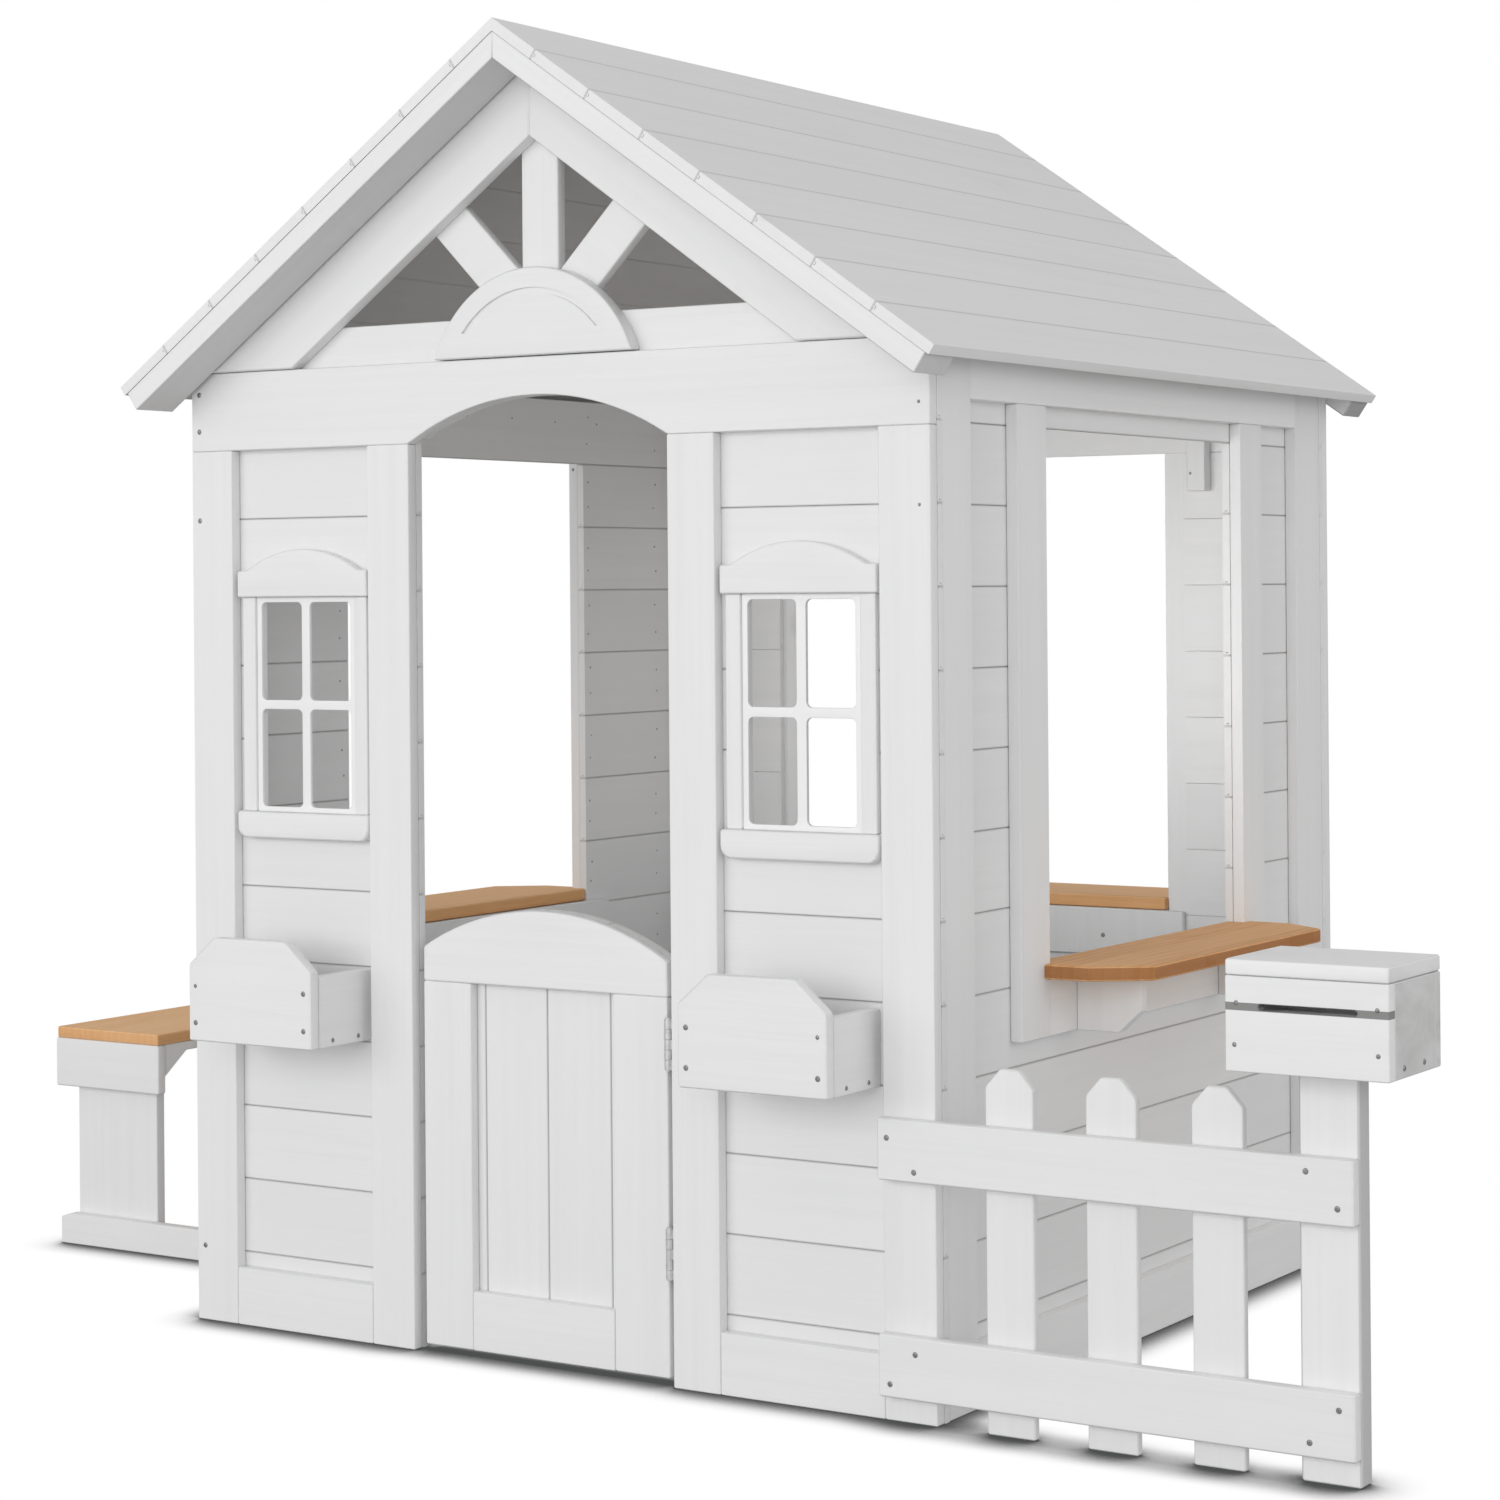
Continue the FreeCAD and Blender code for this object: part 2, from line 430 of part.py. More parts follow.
F, R = (0, -1, 0), (1, 0, 0)
pts = []
for z in (1014.2, 973.8, 876.2, 81.6):
    pts.append(((-457.5, 0, z), F))
for z in (973.8, 875.6):
    pts.append(((457.0, 0, z), F, 1.7))
for s in (-1, 1):
    c = s * WIN_C
    for x in (c - 75.0, c + 75.0):
        pts += [((x, PL_Y0, PL_Z0[s] + 58.5), F, 2.2 if x * s > 316 else SCREW_R), ((x, PL_Y0, PL_Z0[s] + 19.5), F)]
    for y in (-50.0, -9.0):
        pts += [((c + 85.0, y, PL_Z0[s] + 7.0), R, 2.5), ((c - 85.0, y, PL_Z0[s] + 7.0), (-1, 0, 0), 2.5)]
for x, z in ((423.0, 272.8), (453.0, 242.0), (453.0, 69.3), (425.0, 38.3), (854.5, 278.2), (884.5, 247.4),
             (884.4, 70.4), (856.3, 38.7)):
    pts.append(((x, -FT, z), F))
for x, z in ((805.0, 428.0), (803.0, 391.0), (938.0, 429.0), (938.6, 389.5)):
    pts.append(((x, BOX_Y0, z), F, 2.2))
for y in (-16.0, 30.0):
    pts += [((BOX_X1, y, 376.0), R), ((BOX_X0, y, 376.0), (-1, 0, 0))]
for x in (-182.0, 182.0):
    pts.append(((x, yb - BT, 369.0), F))
for x in (-309.0, 309.0):
    pts.append(((x, yb - 17.0, 932.0), F, 1.7))
pts.append(((-462.0, SIDE_Y1, 951.0), F, 2.0))
add("screw_heads", *[screw(*q) for q in pts])

# ---------------------------------------------------------------- eased edges
EASE = 1.3
EASE_BY = {"window_sills": 2.4, "window_lintels": 2.0, "planter_front_boards": 2.0, "planter_side_boards": 1.6,
           "fence_pickets": 1.8, "fence_rails": 2.0, "fence_post": 2.2, "gable_rakes": 1.6,
           "bench_seat": 1.6, "letterbox_lid": 1.8, "bench_aprons": 2.0,
           "gable_centre_spoke": 2.0, "gable_diagonal_spokes": 2.0, "right_wall_shelf": 1.6, "left_wall_shelf": 1.6,
           "back_wall_shelf": 1.6, "door_top_rail": 2.0, "door_stiles": 1.8}
PLAIN = {"front_boards", "front_top_board", "right_wall_boards", "left_wall_boards", "back_wall_boards",
         "back_gable_boards", "roof_right_boards", "roof_left_boards", "door_boards", "door_hinge_leaves",
         "fixed_hinge_leaves", "hinge_pins", "lid_hinge_lid_leaves", "screw_heads", "gable_plaque",
         "window_inserts"}


def ease(s, c, name):
    """Break every edge of a piece of timber by a small flat."""
    def keeps(e):
        a, b = e.Vertexes[0].Point, e.Vertexes[-1].Point
        upright = abs(a.x - b.x) + abs(a.y - b.y) < 0.01
        return not (name.endswith("_shelf") and upright and (abs(abs(a.x) - HALF_W) < 0.1 or abs(a.y - DEPTH) < 0.1))
    edges = [e for e in s.Edges if keeps(e)]
    for es in (edges, [e for e in edges if e.Length > 6.0]):
        try:
            t = s.makeChamfer(c, es)
            if t.isValid() and len(t.Solids) == 1 and 0.85 * s.Volume < t.Volume < s.Volume:
                return t.Solids[0]
        except Exception:
            pass
    print("edges left square on", name)
    return s


for name in nodes:
    if name not in PLAIN:
        nodes[name] = [ease(s if s.ShapeType == "Solid" else s.Solids[0], EASE_BY.get(name, EASE), name)
                       for s in nodes[name]]

# ---------------------------------------------------------------- export
total = None
for name, shapes in nodes.items():
    sh = shapes[0] if len(shapes) == 1 else Part.makeCompound(shapes)
    sh = sh.copy()
    sh.translate(V(-OX, -OY, 0))
    for so in sh.Solids:
        if not so.isValid():
            print("invalid solid in", name)
    sh.exportStep("parts/%s.step" % name)
    bb = sh.BoundBox
    total = bb if total is None else total.united(bb)
    print("%-26s %3d solids  x %.1f..%.1f  y %.1f..%.1f  z %.1f..%.1f" % (
        name, len(sh.Solids), bb.XMin, bb.XMax, bb.YMin, bb.YMax, bb.ZMin, bb.ZMax))
print("nodes", len(nodes), "offset", OX, OY)
print("total x %.2f..%.2f y %.2f..%.2f z %.2f..%.2f" % (total.XMin, total.XMax, total.YMin, total.YMax,
                                                         total.ZMin, total.ZMax))
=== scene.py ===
import math
import random

import bpy
import bmesh
from mathutils import Matrix, Vector


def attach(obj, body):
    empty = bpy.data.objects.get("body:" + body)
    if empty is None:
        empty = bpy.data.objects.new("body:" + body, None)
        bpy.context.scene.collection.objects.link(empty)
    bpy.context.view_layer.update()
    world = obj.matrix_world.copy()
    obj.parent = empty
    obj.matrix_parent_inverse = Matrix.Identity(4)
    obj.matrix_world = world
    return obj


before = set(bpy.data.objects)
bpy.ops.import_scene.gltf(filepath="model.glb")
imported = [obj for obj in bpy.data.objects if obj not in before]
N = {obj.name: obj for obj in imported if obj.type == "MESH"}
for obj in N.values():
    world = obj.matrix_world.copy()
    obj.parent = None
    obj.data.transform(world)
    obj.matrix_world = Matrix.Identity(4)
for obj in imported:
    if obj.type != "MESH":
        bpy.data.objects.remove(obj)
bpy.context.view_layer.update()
scene = bpy.context.scene
scene.view_settings.view_transform = "Standard"
scene.view_settings.look = "None"


# ------------------------------------------------------------------ node helpers
class G:
    """Small helper around one material's node tree."""

    def __init__(self, name):
        self.mat = bpy.data.materials.new(name)
        self.mat.use_nodes = True
        self.t = self.mat.node_tree
        self.t.nodes.clear()
        self.out = self.t.nodes.new("ShaderNodeOutputMaterial")
        self.bsdf = self.t.nodes.new("ShaderNodeBsdfPrincipled")
        self.t.links.new(self.bsdf.outputs[0], self.out.inputs[0])

    def n(self, kind, **kw):
        x = self.t.nodes.new(kind)
        for k, v in kw.items():
            setattr(x, k, v)
        return x

    def put(self, sock, v):
        if isinstance(v, bpy.types.NodeSocket):
            self.t.links.new(v, sock)
        else:
            sock.default_value = v

    def math(self, op, a, b=0.0, c=0.0, clamp=False):
        m = self.n("ShaderNodeMath", operation=op, use_clamp=clamp)
        self.put(m.inputs[0], a)
        self.put(m.inputs[1], b)
        self.put(m.inputs[2], c)
        return m.outputs[0]

    def xyz(self, v):
        s = self.n("ShaderNodeSeparateXYZ")
        self.put(s.inputs[0], v)
        return s.outputs

    def vec(self, x, y, z):
        s = self.n("ShaderNodeCombineXYZ")
        for i, a in enumerate((x, y, z)):
            self.put(s.inputs[i], a)
        return s.outputs[0]

    def vmath(self, op, a, b):
        m = self.n("ShaderNodeVectorMath", operation=op)
        self.put(m.inputs[0], a)
        self.put(m.inputs[1], b)
        return m.outputs[0]

    def noise(self, v, scale, detail=3.0, rough=0.55, dist=0.0, w=None):
        m = self.n("ShaderNodeTexNoise")
        if w is not None:
            m.noise_dimensions = "4D"
            self.put(m.inputs["W"], w)
        self.put(m.inputs["Vector"], v)
        self.put(m.inputs["Scale"], scale)
        self.put(m.inputs["Detail"], detail)
        self.put(m.inputs["Roughness"], rough)
        self.put(m.inputs["Distortion"], dist)
        return m.outputs["Fac"]

    def ramp(self, f, stops, interp="LINEAR"):
        r = self.n("ShaderNodeValToRGB")
        r.color_ramp.interpolation = interp
        e = r.color_ramp.elements
        while len(e) < len(stops):
            e.new(0.5)
        for i, (p, c) in enumerate(stops):
            e[i].position = p
            e[i].color = (c, c, c, 1) if not isinstance(c, (tuple, list)) else (*c, 1)
        self.put(r.inputs[0], f)
        return r.outputs[0]

    def mix(self, f, a, b, mode="MIX"):
        m = self.n("ShaderNodeMix", data_type="RGBA", blend_type=mode)
        self.put(m.inputs[0], f)
        for s, v in ((m.inputs[6], a), (m.inputs[7], b)):
            if isinstance(v, (tuple, list)):
                s.default_value = (*v, 1)
            else:
                self.put(s, v)
        return m.outputs[2]

    def rng(self, v, a, b, c, d):
        m = self.n("ShaderNodeMapRange")
        for i, x in enumerate((v, a, b, c, d)):
            self.put(m.inputs[i], x)
        return m.outputs[0]

    def bump(self, h, strength, dist, normal=None):
        b = self.n("ShaderNodeBump")
        b.inputs["Strength"].default_value = strength
        b.inputs["Distance"].default_value = dist
        self.put(b.inputs["Height"], h)
        if normal is not None:
            self.put(b.inputs["Normal"], normal)
        return b.outputs[0]


OX, OY = 0.0159, 0.47935      # shift from house centre coordinates to the row frame


def painted(name, grain, board=None, tone=1.0, seed=0.0, knots=1.0, strength=0.8, underside_shade=None, painted_side_shade=0.0, flank_shade_factor=None, slot_shade=None, joint=0.42):
    """White brushed paint over softwood. grain: 'x', 'y', 'z' or 'rake' for the timber's length.
    board: ('z'|'x'|'slope', first joint, pitch) gives each board its own tone and grain."""
    g = G(name)
    co = g.n("ShaderNodeTexCoord").outputs["Object"]
    X, Y, Z = g.xyz(co)
    idx = None
    if board:
        kind, j0, pitch = board
        if kind == "z":
            u = Z
        elif kind == "x":
            u = X
        else:
            ax = g.math("ABSOLUTE", g.math("ADD", X, OX))
            u = g.math("SUBTRACT", g.math("MULTIPLY", ax, 0.8231), g.math("MULTIPLY", g.math("SUBTRACT", Z, 1.3752), 0.5679))
            side = g.math("SIGN", g.math("ADD", X, OX))
        idx = g.math("FLOOR", g.math("DIVIDE", g.math("SUBTRACT", u, j0), pitch))
        if kind == "slope":
            idx = g.math("ADD", idx, g.math("MULTIPLY", side, 31.0))
    # coordinates with x' along the timber
    if grain == "x":
        L, A, B = X, Y, Z
    elif grain == "y":
        L, A, B = Y, X, Z
    elif grain == "z":
        L, A, B = Z, X, Y
    else:
        ax = g.math("ABSOLUTE", g.math("ADD", X, OX))
        L = g.math("SUBTRACT", g.math("MULTIPLY", ax, 0.8231), g.math("MULTIPLY", Z, 0.5679))
        B = g.math("ADD", g.math("MULTIPLY", ax, 0.5679), g.math("MULTIPLY", Z, 0.8231))
        A = Y
    if idx is None:
        w = seed
        off = g.vec(seed * 3.1, seed * 1.7, seed * 2.3)
    else:
        wn = g.n("ShaderNodeTexWhiteNoise", noise_dimensions="1D")
        g.put(wn.inputs["W"], g.math("ADD", idx, seed))
        w = g.math("MULTIPLY", wn.outputs["Value"], 40.0)
        off = g.vec(w, g.math("MULTIPLY", w, 0.37), g.math("MULTIPLY", w, 0.73))
    base = g.vmath("ADD", g.vec(L, A, B), off)
    # knots: sparse cells, grain lines bend round them
    kv = g.vmath("MULTIPLY", base, (3.2, 7.5, 7.5))
    vo = g.n("ShaderNodeTexVoronoi", feature="F1")
    g.put(vo.inputs["Vector"], kv)
    vo.inputs["Scale"].default_value = 1.0
    pick = g.ramp(g.xyz(vo.outputs["Color"])[0], [(0.62, 0.0), (0.68, 1.0)])
    kd = vo.outputs["Distance"]
    core = g.math("MULTIPLY", g.ramp(kd, [(0.02, 1.0), (0.085, 0.0)]), pick)
    halo = g.math("MULTIPLY", g.ramp(kd, [(0.05, 1.0), (0.30, 0.0)]), pick)
    # long grain streaks
    wob = g.noise(base, 2.2, 2.0)
    bent = g.math("ADD", g.math("MULTIPLY", wob, 0.010), g.math("MULTIPLY", halo, 0.006))
    gv = g.vmath("ADD", base, g.vec(0.0, bent, bent))
    fine = g.noise(g.vmath("MULTIPLY", gv, (5.0, 260.0, 260.0)), 1.0, 4.0, 0.6)
    streak = g.noise(g.vmath("MULTIPLY", gv, (1.6, 62.0, 62.0)), 1.0, 3.0, 0.55)
    cloud = g.noise(base, 3.1, 3.0, 0.5)
    col = g.mix(g.rng(streak, 0.42, 0.74, 0.0, 0.55 * strength), (0.852 * tone, 0.852 * tone, 0.852 * tone),
                (0.775 * tone, 0.777 * tone, 0.775 * tone))
    col = g.mix(g.rng(fine, 0.50, 0.80, 0.0, 0.35 * strength), col, (0.755 * tone, 0.755 * tone, 0.750 * tone))
    col = g.mix(g.rng(cloud, 0.35, 0.72, 0.0, 0.45), col, (0.815 * tone, 0.817 * tone, 0.822 * tone))
    if idx is not None:
        col = g.mix(g.math("MULTIPLY", wn.outputs["Value"], 0.55), col, (0.795 * tone, 0.795 * tone, 0.797 * tone))
    col = g.mix(g.math("MULTIPLY", halo, 0.22 * knots), col, (0.70, 0.70, 0.69))
    col = g.mix(g.math("MULTIPLY", core, 0.60 * knots), col, (0.56, 0.555, 0.54))
    # rubbed edges
    bev = g.n("ShaderNodeBevel", samples=4)
    bev.inputs["Radius"].default_value = 0.0022
    geo = g.n("ShaderNodeNewGeometry")
    dt = g.n("ShaderNodeVectorMath", operation="DOT_PRODUCT")
    g.put(dt.inputs[0], bev.outputs[0])
    g.put(dt.inputs[1], geo.outputs["Normal"])
    edge = g.rng(dt.outputs["Value"], 0.985, 0.90, 0.0, 1.0)
    patch = g.ramp(g.noise(base, 38.0, 4.0, 0.65), [(0.50, 0.0), (0.66, 1.0)])
    wear = g.math("MULTIPLY", g.math("MULTIPLY", edge, patch), 0.30)
    col = g.mix(wear, col, (0.64, 0.62, 0.585))
    if idx is not None and joint:   # painted shade: the colour is darkened along the joint between two boards, where the V-groove lies in shade
        fr = g.math("FRACT", g.math("DIVIDE", g.math("SUBTRACT", u, j0), pitch))
        gap = g.math("MULTIPLY", g.math("MINIMUM", fr, g.math("SUBTRACT", 1.0, fr)), pitch)
        col = g.mix(g.rng(gap, 0.0009, 0.0019, joint, 0.0), col, (0.36, 0.36, 0.355))
    if underside_shade is not None:           # painted shade: the faces that look down are darkened
        uf, u0, u1 = underside_shade[:3]
        down = g.rng(g.xyz(geo.outputs["True Normal"])[2], u0, u1, 0.0, 1.0)
        col = g.mix(down, col, (uf, uf, uf), "MULTIPLY")
        if len(underside_shade) > 3:          # painted shade: the downward faces of the rear pieces are darkened further
            rear = g.math("MULTIPLY", down, g.math("GREATER_THAN", Y, 0.3))
            col = g.mix(rear, col, (underside_shade[3],) * 3, "MULTIPLY")
    # painted shade: the faces that look along ±X are darkened
    if flank_shade_factor is not None:
        flank_shade = g.rng(g.math("ABSOLUTE", g.xyz(geo.outputs["True Normal"])[0]), 0.5, 0.8, 0.0, 1.0)
        col = g.mix(flank_shade, col, (flank_shade_factor, flank_shade_factor, flank_shade_factor), "MULTIPLY")
    if slot_shade is not None:            # painted shade: the faces inside the letter slot are darkened
        y0, z0, z1 = slot_shade
        ins = g.math("MULTIPLY", g.math("GREATER_THAN", Y, y0), g.math("MULTIPLY", g.math("GREATER_THAN", Z, z0),
                                                                      g.math("LESS_THAN", Z, z1)))
        col = g.mix(ins, col, (0.30, 0.30, 0.295), "MULTIPLY")
    if painted_side_shade:                        # painted shade: the faces that look along ±X are darkened, broken up by a smeared noise
        flank_shade = g.rng(g.math("ABSOLUTE", g.xyz(geo.outputs["True Normal"])[0]), 0.6, 0.9, 0.0, painted_side_shade)
        side_shade_noise = g.noise(g.vmath("MULTIPLY", base, (14.0, 9.0, 24.0)), 1.0, 5.0, 0.62, 0.6)
        col = g.mix(g.math("MULTIPLY", flank_shade, g.rng(side_shade_noise, 0.34, 0.70, 0.25, 1.0)), col, (0.47, 0.465, 0.455))
    g.put(g.bsdf.inputs["Base Color"], col)
    rgh = g.rng(g.noise(g.vmath("MULTIPLY", base, (20.0, 120.0, 120.0)), 1.0, 3.0), 0.3, 0.7, 0.46, 0.60)
    g.put(g.bsdf.inputs["Roughness"], rgh)
    g.bsdf.inputs["Specular IOR Level"].default_value = 0.38
    h = g.math("ADD", g.math("MULTIPLY", fine, 0.50), g.math("MULTIPLY", streak, 0.70))
    h = g.math("SUBTRACT", h, g.math("MULTIPLY", core, 0.5))
    h = g.math("ADD", h, g.math("MULTIPLY", g.noise(base, 420.0, 2.0), 0.10))
    g.put(g.bsdf.inputs["Normal"], g.bump(h, 0.34 * strength, 0.0009))
    return g.mat


def stained(name, grain, seed=0.0, shaded_copy=False):
    """Brown stained softwood, clear satin coat."""
    g = G(name)
    co = g.n("ShaderNodeTexCoord").outputs["Object"]
    X, Y, Z = g.xyz(co)
    L, A = (X, Y) if grain == "x" else (Y, X)
    base = g.vmath("ADD", g.vec(L, A, Z), (seed, seed * 0.7, seed * 0.3))
    # glued staves across the width
    st = g.math("FLOOR", g.math("DIVIDE", g.math("ADD", A, 0.013 + seed * 0.01), 0.052))
    wn = g.n("ShaderNodeTexWhiteNoise", noise_dimensions="1D")
    g.put(wn.inputs["W"], g.math("ADD", st, 7.0 + seed))
    w = g.math("MULTIPLY", wn.outputs["Value"], 9.0)
    base = g.vmath("ADD", base, g.vec(w, w, g.math("MULTIPLY", w, 0.5)))
    wob = g.noise(base, 1.7, 2.0)
    gv = g.vmath("ADD", base, g.vec(0.0, g.math("MULTIPLY", wob, 0.035), g.math("MULTIPLY", wob, 0.035)))
    # painted shade: the shaded copy is the same stain in darker colours, used for the right shelf
    if shaded_copy:
        c0, c1, c2, c3 = (0.90, 0.500, 0.228), (0.638, 0.313, 0.123), (0.544, 0.256, 0.098), (0.925, 0.556, 0.281)
        side_shade_mix, side_shade_col = 0.74, (0.300, 0.108, 0.033)
    else:
        c0, c1, c2, c3 = (0.95, 0.580, 0.295), (0.740, 0.395, 0.165), (0.640, 0.325, 0.135), (0.96, 0.625, 0.350)
        side_shade_mix, side_shade_col = 0.36, (0.560, 0.240, 0.080)
    rings = g.n("ShaderNodeTexWave", wave_type="BANDS", bands_direction="Y", wave_profile="SAW")
    g.put(rings.inputs["Vector"], g.vmath("MULTIPLY", gv, (0.55, 1.0, 0.8)))
    rings.inputs["Scale"].default_value = 27.0
    rings.inputs["Distortion"].default_value = 5.0
    rings.inputs["Detail"].default_value = 3.0
    rings.inputs["Detail Scale"].default_value = 0.8
    fine = g.noise(g.vmath("MULTIPLY", gv, (9.0, 330.0, 330.0)), 1.0, 4.0, 0.6)
    col = g.mix(g.rng(rings.outputs["Fac"], 0.0, 1.0, 0.0, 0.50), c0, c1)
    col = g.mix(g.rng(fine, 0.40, 0.80, 0.0, 0.50), col, c2)
    col = g.mix(g.math("MULTIPLY", wn.outputs["Value"], 0.45), col, c3)
    geo = g.n("ShaderNodeNewGeometry")
    nx, ny, nz = g.xyz(geo.outputs["True Normal"])
    # painted light and shade: upright faces are mixed towards a darker colour, so the tops read lighter than the
    # sides
    up = g.math("ABSOLUTE", nz)
    col = g.mix(g.rng(up, 0.2, 0.8, side_shade_mix, 0.0), col, side_shade_col)
    g.put(g.bsdf.inputs["Base Color"], col)
    g.put(g.bsdf.inputs["Roughness"], g.rng(fine, 0.3, 0.7, 0.46, 0.60))
    g.bsdf.inputs["Specular IOR Level"].default_value = 0.10
    h = g.math("ADD", g.math("MULTIPLY", fine, 0.6), g.math("MULTIPLY", rings.outputs["Fac"], 0.25))
    g.put(g.bsdf.inputs["Normal"], g.bump(h, 0.30, 0.0006))
    return g.mat


def plastic(name):
    g = G(name)
    co = g.n("ShaderNodeTexCoord").outputs["Object"]
    cl = g.noise(co, 9.0, 3.0)
    col = g.mix(g.rng(cl, 0.35, 0.7, 0.0, 0.5), (0.885, 0.885, 0.885), (0.855, 0.857, 0.860))
    g.put(g.bsdf.inputs["Base Color"], col)
    g.put(g.bsdf.inputs["Roughness"], g.rng(g.noise(co, 60.0, 3.0), 0.3, 0.7, 0.30, 0.40))
    h = g.noise(co, 900.0, 2.0)
    g.put(g.bsdf.inputs["Normal"], g.bump(h, 0.12, 0.0002))
    return g.mat


def steel(name, light=(0.37, 0.375, 0.38), dull=(0.20, 0.195, 0.185), metal=0.85):
    g = G(name)
    co = g.n("ShaderNodeTexCoord").outputs["Object"]
    br = g.noise(g.vmath("MULTIPLY", co, (900.0, 900.0, 60.0)), 1.0, 3.0)
    sp = g.noise(co, 160.0, 4.0, 0.6)
    col = g.mix(g.rng(sp, 0.35, 0.75, 0.0, 0.8), light, dull)
    g.put(g.bsdf.inputs["Base Color"], col)
    g.bsdf.inputs["Metallic"].default_value = metal
    g.put(g.bsdf.inputs["Roughness"], g.rng(br, 0.3, 0.7, 0.32, 0.50))
    g.put(g.bsdf.inputs["Normal"], g.bump(br, 0.25, 0.0002))
    return g.mat


# ------------------------------------------------------------------ finish of the CAD pieces
def smooth_group():
    """Weld the facets of a piece and smooth across its eased edges."""
    ng = bpy.data.node_groups.new("eased_edges", "GeometryNodeTree")
    ng.interface.new_socket("Geometry", in_out="INPUT", socket_type="NodeSocketGeometry")
    ng.interface.new_socket("Geometry", in_out="OUTPUT", socket_type="NodeSocketGeometry")
    i, o = ng.nodes.new("NodeGroupInput"), ng.nodes.new("NodeGroupOutput")
    m = ng.nodes.new("GeometryNodeMergeByDistance")
    m.inputs["Distance"].default_value = 2e-5
    ss = ng.nodes.new("GeometryNodeSetShadeSmooth")
    ss.domain = "FACE"
    ang = ng.nodes.new("GeometryNodeInputMeshEdgeAngle")
    cmp_ = ng.nodes.new("FunctionNodeCompare")
    cmp_.data_type = "FLOAT"
    cmp_.operation = "GREATER_THAN"
    cmp_.inputs[1].default_value = math.radians(50)
    se = ng.nodes.new("GeometryNodeSetShadeSmooth")
    se.domain = "EDGE"
    se.inputs["Shade Smooth"].default_value = False
    ng.links.new(i.outputs[0], m.inputs[0])
    ng.links.new(m.outputs[0], ss.inputs[0])
    ng.links.new(ss.outputs[0], se.inputs[0])
    ng.links.new(ang.outputs["Unsigned Angle"], cmp_.inputs[0])
    ng.links.new(cmp_.outputs[0], se.inputs["Selection"])
    ng.links.new(se.outputs[0], o.inputs[0])
    return ng


EASED = smooth_group()
Z_ROWS = ("z", 0.0774, 0.08)

M_X = painted("white_paint_grain_x", "x", seed=2.0)
M_Y = painted("white_paint_grain_y", "y", seed=5.0)
M_Z = painted("white_paint_grain_z", "z", seed=8.0)
M_RAKE = painted("white_paint_grain_slope", "rake", seed=11.0)
# painted shade: the downward faces of the battens are darkened, the rear battens' more
M_BATTEN = painted("white_paint_battens", "rake", seed=12.0, underside_shade=(0.80, -0.2, -0.5, 0.62))
M_FBOARD = painted("white_paint_front_boards", "x", Z_ROWS, seed=3.0)
M_SBOARD = painted("white_paint_side_boards", "y", Z_ROWS, seed=9.0)
M_BBOARD = painted("white_paint_back_boards", "x", Z_ROWS, seed=14.0, joint=0.0)
M_DOOR = painted("white_paint_door_boards", "z", ("x", -0.0989, 0.08), seed=21.0)
# painted shade: the downward faces of the roof boards are darkened
M_ROOF = painted("white_paint_roof_boards", "y", ("slope", 0.066, 0.08), seed=17.0, knots=0.7, underside_shade=(0.66, -0.64, -0.76))
M_STAIN_Y = stained("brown_stain_grain_y", "y", 1.0)
# painted shade: a darker copy of the brown stain for the right shelf
M_STAIN_SHADED = stained("shaded_stain_grain_y", "y", 2.0, shaded_copy=True)
M_STAIN_X = stained("brown_stain_grain_x", "x", 4.0)
# painted light and shade: these copies of the white paint are brightened (tone above 1) or darkened (tone below
# 1), and the side faces of the letter box, lid and post and the inside of the letter slot are darkened
M_BOXSIDE = painted("white_paint_letterbox_shaded", "y", seed=27.0, tone=0.91, painted_side_shade=0.70)
M_RAIL = painted("white_paint_right_rails_lit", "y", seed=6.0, tone=1.06)
M_LID = painted("white_paint_lid_lit_and_shaded", "x", seed=33.0, tone=1.06, painted_side_shade=0.25)
M_POST = painted("white_paint_post_lit_and_shaded", "z", seed=36.0, tone=1.03, flank_shade_factor=0.66)
M_BOXFRONT = painted("white_paint_box_front_lit_and_shaded", "x", seed=39.0, tone=1.03, slot_shade=(-0.5636, 0.4215, 0.4285))
M_PLASTIC = plastic("white_moulding")
M_STEEL = steel("zinc_steel")
M_HINGE = steel("bright_plated_steel", (0.72, 0.725, 0.73), (0.50, 0.495, 0.485), 0.55)

